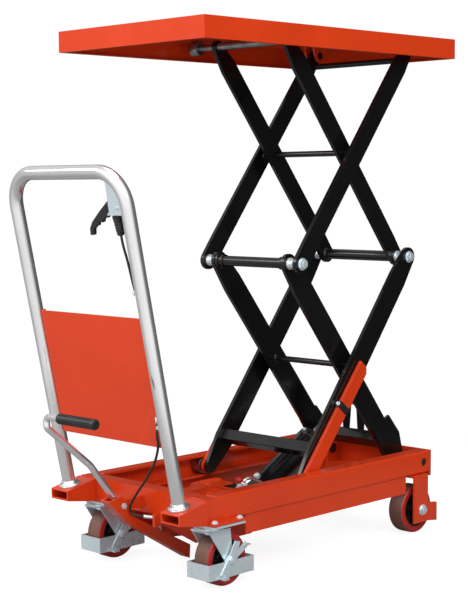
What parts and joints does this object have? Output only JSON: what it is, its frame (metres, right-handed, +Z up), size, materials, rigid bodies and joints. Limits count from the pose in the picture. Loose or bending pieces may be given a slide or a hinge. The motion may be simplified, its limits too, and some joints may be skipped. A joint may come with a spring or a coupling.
{
  "type": "scissor lift table",
  "caption": "Mobile hydraulic scissor lift table: steel platform on a double scissor, foot pump pedal, release lever, push handle, swivel and fixed wheels.",
  "frame": {"origin": "floor point under the middle of the overall box", "axes": "+X from the push handle towards the front of the table, +Y to the left, +Z up"},
  "size_m": [1.173, 0.5, 1.2869],
  "materials": {
    "orange_paint": "gloss",
    "black_paint": "gloss",
    "zinc_plate": "satin",
    "bright_chrome": "polished",
    "dark_steel": "satin",
    "tread_polyurethane": "satin",
    "hub_plastic": "matte",
    "black_rubber": "matte"
  },
  "bodies": {
    "chassis": {"side_rail_left": "orange_paint", "side_rail_right": "orange_paint", "handle_crossbeam": "orange_paint", "front_crossbeam": "orange_paint", "pump_tray": "orange_paint", "handle_socket_left": "orange_paint", "handle_socket_right": "orange_paint", "handle_tube": "bright_chrome", "back_panel": "orange_paint", "lever_bracket": "zinc_plate", "release_cable": "black_rubber", "pump_block": "black_paint", "caster_plate_left": "zinc_plate", "caster_plate_right": "zinc_plate", "wheel_bracket_left": "orange_paint", "wheel_bracket_right": "orange_paint", "pivot_pin_left": "dark_steel", "pivot_pin_right": "dark_steel"},
    "release_lever": {"release_lever": "black_rubber"},
    "foot_pedal": {"pedal_arm": "orange_paint", "pedal_rod": "bright_chrome", "pedal_grip": "black_rubber"},
    "pump_plunger": {"pump_plunger": "bright_chrome"},
    "lower_inner": {"lower_inner_arm_left": "black_paint", "lower_inner_arm_right": "black_paint", "lower_inner_crossbar": "black_paint", "rear_knuckle_shaft": "black_paint", "lower_center_rod": "black_paint"},
    "lower_outer": {"lower_outer_arm_left": "black_paint", "lower_outer_arm_right": "black_paint", "lower_outer_crossbar": "black_paint"},
    "upper_outer": {"upper_outer_arm_left": "black_paint", "upper_outer_arm_right": "black_paint", "upper_tie_rod": "black_paint", "upper_center_rod": "black_paint"},
    "upper_inner": {"upper_inner_arm_left": "black_paint", "upper_inner_arm_right": "black_paint", "front_knuckle_shaft": "black_paint", "table_roller_shaft": "dark_steel"},
    "table": {"table": "orange_paint"},
    "ram_barrel": {"cylinder_barrel": "black_paint"},
    "ram_rod": {"piston_rod": "bright_chrome"},
    "base_roller_left": {"base_roller_left": "dark_steel"},
    "table_roller_left": {"table_roller_left": "dark_steel"},
    "safety_bar_left": {"safety_bar_left": "orange_paint"},
    "caster_left": {"caster_fork_left": "zinc_plate"},
    "caster_wheel_left": {"caster_tyre_left": "tread_polyurethane", "caster_hub_left": "hub_plastic"},
    "caster_brake_left": {"brake_frame_left": "zinc_plate"},
    "fixed_wheel_left": {"fixed_tyre_left": "tread_polyurethane", "fixed_hub_left": "hub_plastic"},
    "base_roller_right": {"base_roller_right": "dark_steel"},
    "table_roller_right": {"table_roller_right": "dark_steel"},
    "safety_bar_right": {"safety_bar_right": "orange_paint"},
    "caster_right": {"caster_fork_right": "zinc_plate"},
    "caster_wheel_right": {"caster_tyre_right": "tread_polyurethane", "caster_hub_right": "hub_plastic"},
    "caster_brake_right": {"brake_frame_right": "zinc_plate"},
    "fixed_wheel_right": {"fixed_tyre_right": "tread_polyurethane", "fixed_hub_right": "hub_plastic"}
  },
  "joints": [
    {"name": "lift", "type": "hinge", "parent": "chassis", "child": "lower_inner", "pos_m": [0.505, 0, 0.186], "axis": [0, 1, 0], "range_deg": [-46, 0]},
    {"name": "lower_scissor", "type": "hinge", "parent": "lower_inner", "child": "lower_outer", "pos_m": [0.296, 0, 0.45583], "axis": [0, 1, 0], "range_deg": [0, 92]},
    {"name": "rear_knuckle", "type": "hinge", "parent": "lower_inner", "child": "upper_outer", "pos_m": [0.08701, 0, 0.72565], "axis": [0, 1, 0], "range_deg": [0, 92]},
    {"name": "upper_scissor", "type": "hinge", "parent": "upper_outer", "child": "upper_inner", "pos_m": [0.296, 0, 0.99548], "axis": [0, 1, 0], "range_deg": [-92, 0]},
    {"name": "table_pivot", "type": "hinge", "parent": "upper_outer", "child": "table", "pos_m": [0.505, 0, 1.2653], "axis": [0, 1, 0], "range_deg": [-46, 0]},
    {"name": "ram_tilt", "type": "hinge", "parent": "chassis", "child": "ram_barrel", "pos_m": [0.054, 0, 0.112], "axis": [0, 1, 0], "range_deg": [-0.2, 0]},
    {"name": "ram_stroke", "type": "slide", "parent": "ram_barrel", "child": "ram_rod", "axis": [0.8768, 0, 0.4808], "range_m": [-0.1262, 0]},
    {"name": "base_roller_spin_left", "type": "hinge", "parent": "lower_outer", "child": "base_roller_left", "pos_m": [0.08701, 0.1933, 0.186], "axis": [0, 1, 0], "continuous": true},
    {"name": "table_roller_spin_left", "type": "hinge", "parent": "upper_inner", "child": "table_roller_left", "pos_m": [0.08701, 0.1933, 1.2653], "axis": [0, 1, 0], "continuous": true},
    {"name": "safety_bar_hinge_left", "type": "hinge", "parent": "lower_outer", "child": "safety_bar_left", "pos_m": [0.08701, 0.172, 0.186], "axis": [0, -1, 0], "range_deg": [0, 128.5]},
    {"name": "caster_swivel_left", "type": "hinge", "parent": "chassis", "child": "caster_left", "pos_m": [-0.263, 0.19, 0.147], "axis": [0, 0, 1], "continuous": true},
    {"name": "caster_roll_left", "type": "hinge", "parent": "caster_left", "child": "caster_wheel_left", "pos_m": [-0.227, 0.19, 0.0635], "axis": [0, 1, 0], "continuous": true},
    {"name": "caster_brake_pedal_left", "type": "hinge", "parent": "caster_left", "child": "caster_brake_left", "pos_m": [-0.227, 0.19, 0.0635], "axis": [0, -1, 0], "range_deg": [0, 12]},
    {"name": "fixed_wheel_roll_left", "type": "hinge", "parent": "chassis", "child": "fixed_wheel_left", "pos_m": [0.484, 0.188, 0.0635], "axis": [0, 1, 0], "continuous": true},
    {"name": "base_roller_spin_right", "type": "hinge", "parent": "lower_outer", "child": "base_roller_right", "pos_m": [0.08701, -0.1933, 0.186], "axis": [0, 1, 0], "continuous": true},
    {"name": "table_roller_spin_right", "type": "hinge", "parent": "upper_inner", "child": "table_roller_right", "pos_m": [0.08701, -0.1933, 1.2653], "axis": [0, 1, 0], "continuous": true},
    {"name": "safety_bar_hinge_right", "type": "hinge", "parent": "lower_outer", "child": "safety_bar_right", "pos_m": [0.08701, -0.172, 0.186], "axis": [0, -1, 0], "range_deg": [0, 128.5]},
    {"name": "caster_swivel_right", "type": "hinge", "parent": "chassis", "child": "caster_right", "pos_m": [-0.263, -0.19, 0.147], "axis": [0, 0, 1], "continuous": true},
    {"name": "caster_roll_right", "type": "hinge", "parent": "caster_right", "child": "caster_wheel_right", "pos_m": [-0.227, -0.19, 0.0635], "axis": [0, 1, 0], "continuous": true},
    {"name": "caster_brake_pedal_right", "type": "hinge", "parent": "caster_right", "child": "caster_brake_right", "pos_m": [-0.227, -0.19, 0.0635], "axis": [0, -1, 0], "range_deg": [0, 12]},
    {"name": "fixed_wheel_roll_right", "type": "hinge", "parent": "chassis", "child": "fixed_wheel_right", "pos_m": [0.484, -0.188, 0.0635], "axis": [0, 1, 0], "continuous": true},
    {"name": "pump_pedal", "type": "hinge", "parent": "chassis", "child": "foot_pedal", "pos_m": [-0.3665, 0, 0.1804], "axis": [0, -1, 0], "range_deg": [0, 15], "stiffness_Nm_per_rad": 10, "springref_deg": -34.38},
    {"name": "pump_stroke", "type": "slide", "parent": "chassis", "child": "pump_plunger", "axis": [0, 0, 1], "range_m": [0, 0.0335]},
    {"name": "release_lever_hinge", "type": "hinge", "parent": "chassis", "child": "release_lever", "pos_m": [-0.49456, -0.156, 0.89589], "axis": [0.9792, 0, 0.2027], "range_deg": [0, 18], "stiffness_Nm_per_rad": 0.4, "springref_deg": -28.65}
  ],
  "couplings": [
    {"joint": "lower_scissor", "follows": "lift", "ratio": -2},
    {"joint": "rear_knuckle", "follows": "lift", "ratio": -2},
    {"joint": "upper_scissor", "follows": "lift", "ratio": 2},
    {"joint": "table_pivot", "follows": "lift", "ratio": 1},
    {"joint": "ram_tilt", "follows": "lift", "ratio": 0.003},
    {"joint": "ram_stroke", "follows": "lift", "m_per_rad": 0.157},
    {"joint": "pump_stroke", "follows": "pump_pedal", "m_per_rad": 0.1279}
  ]
}
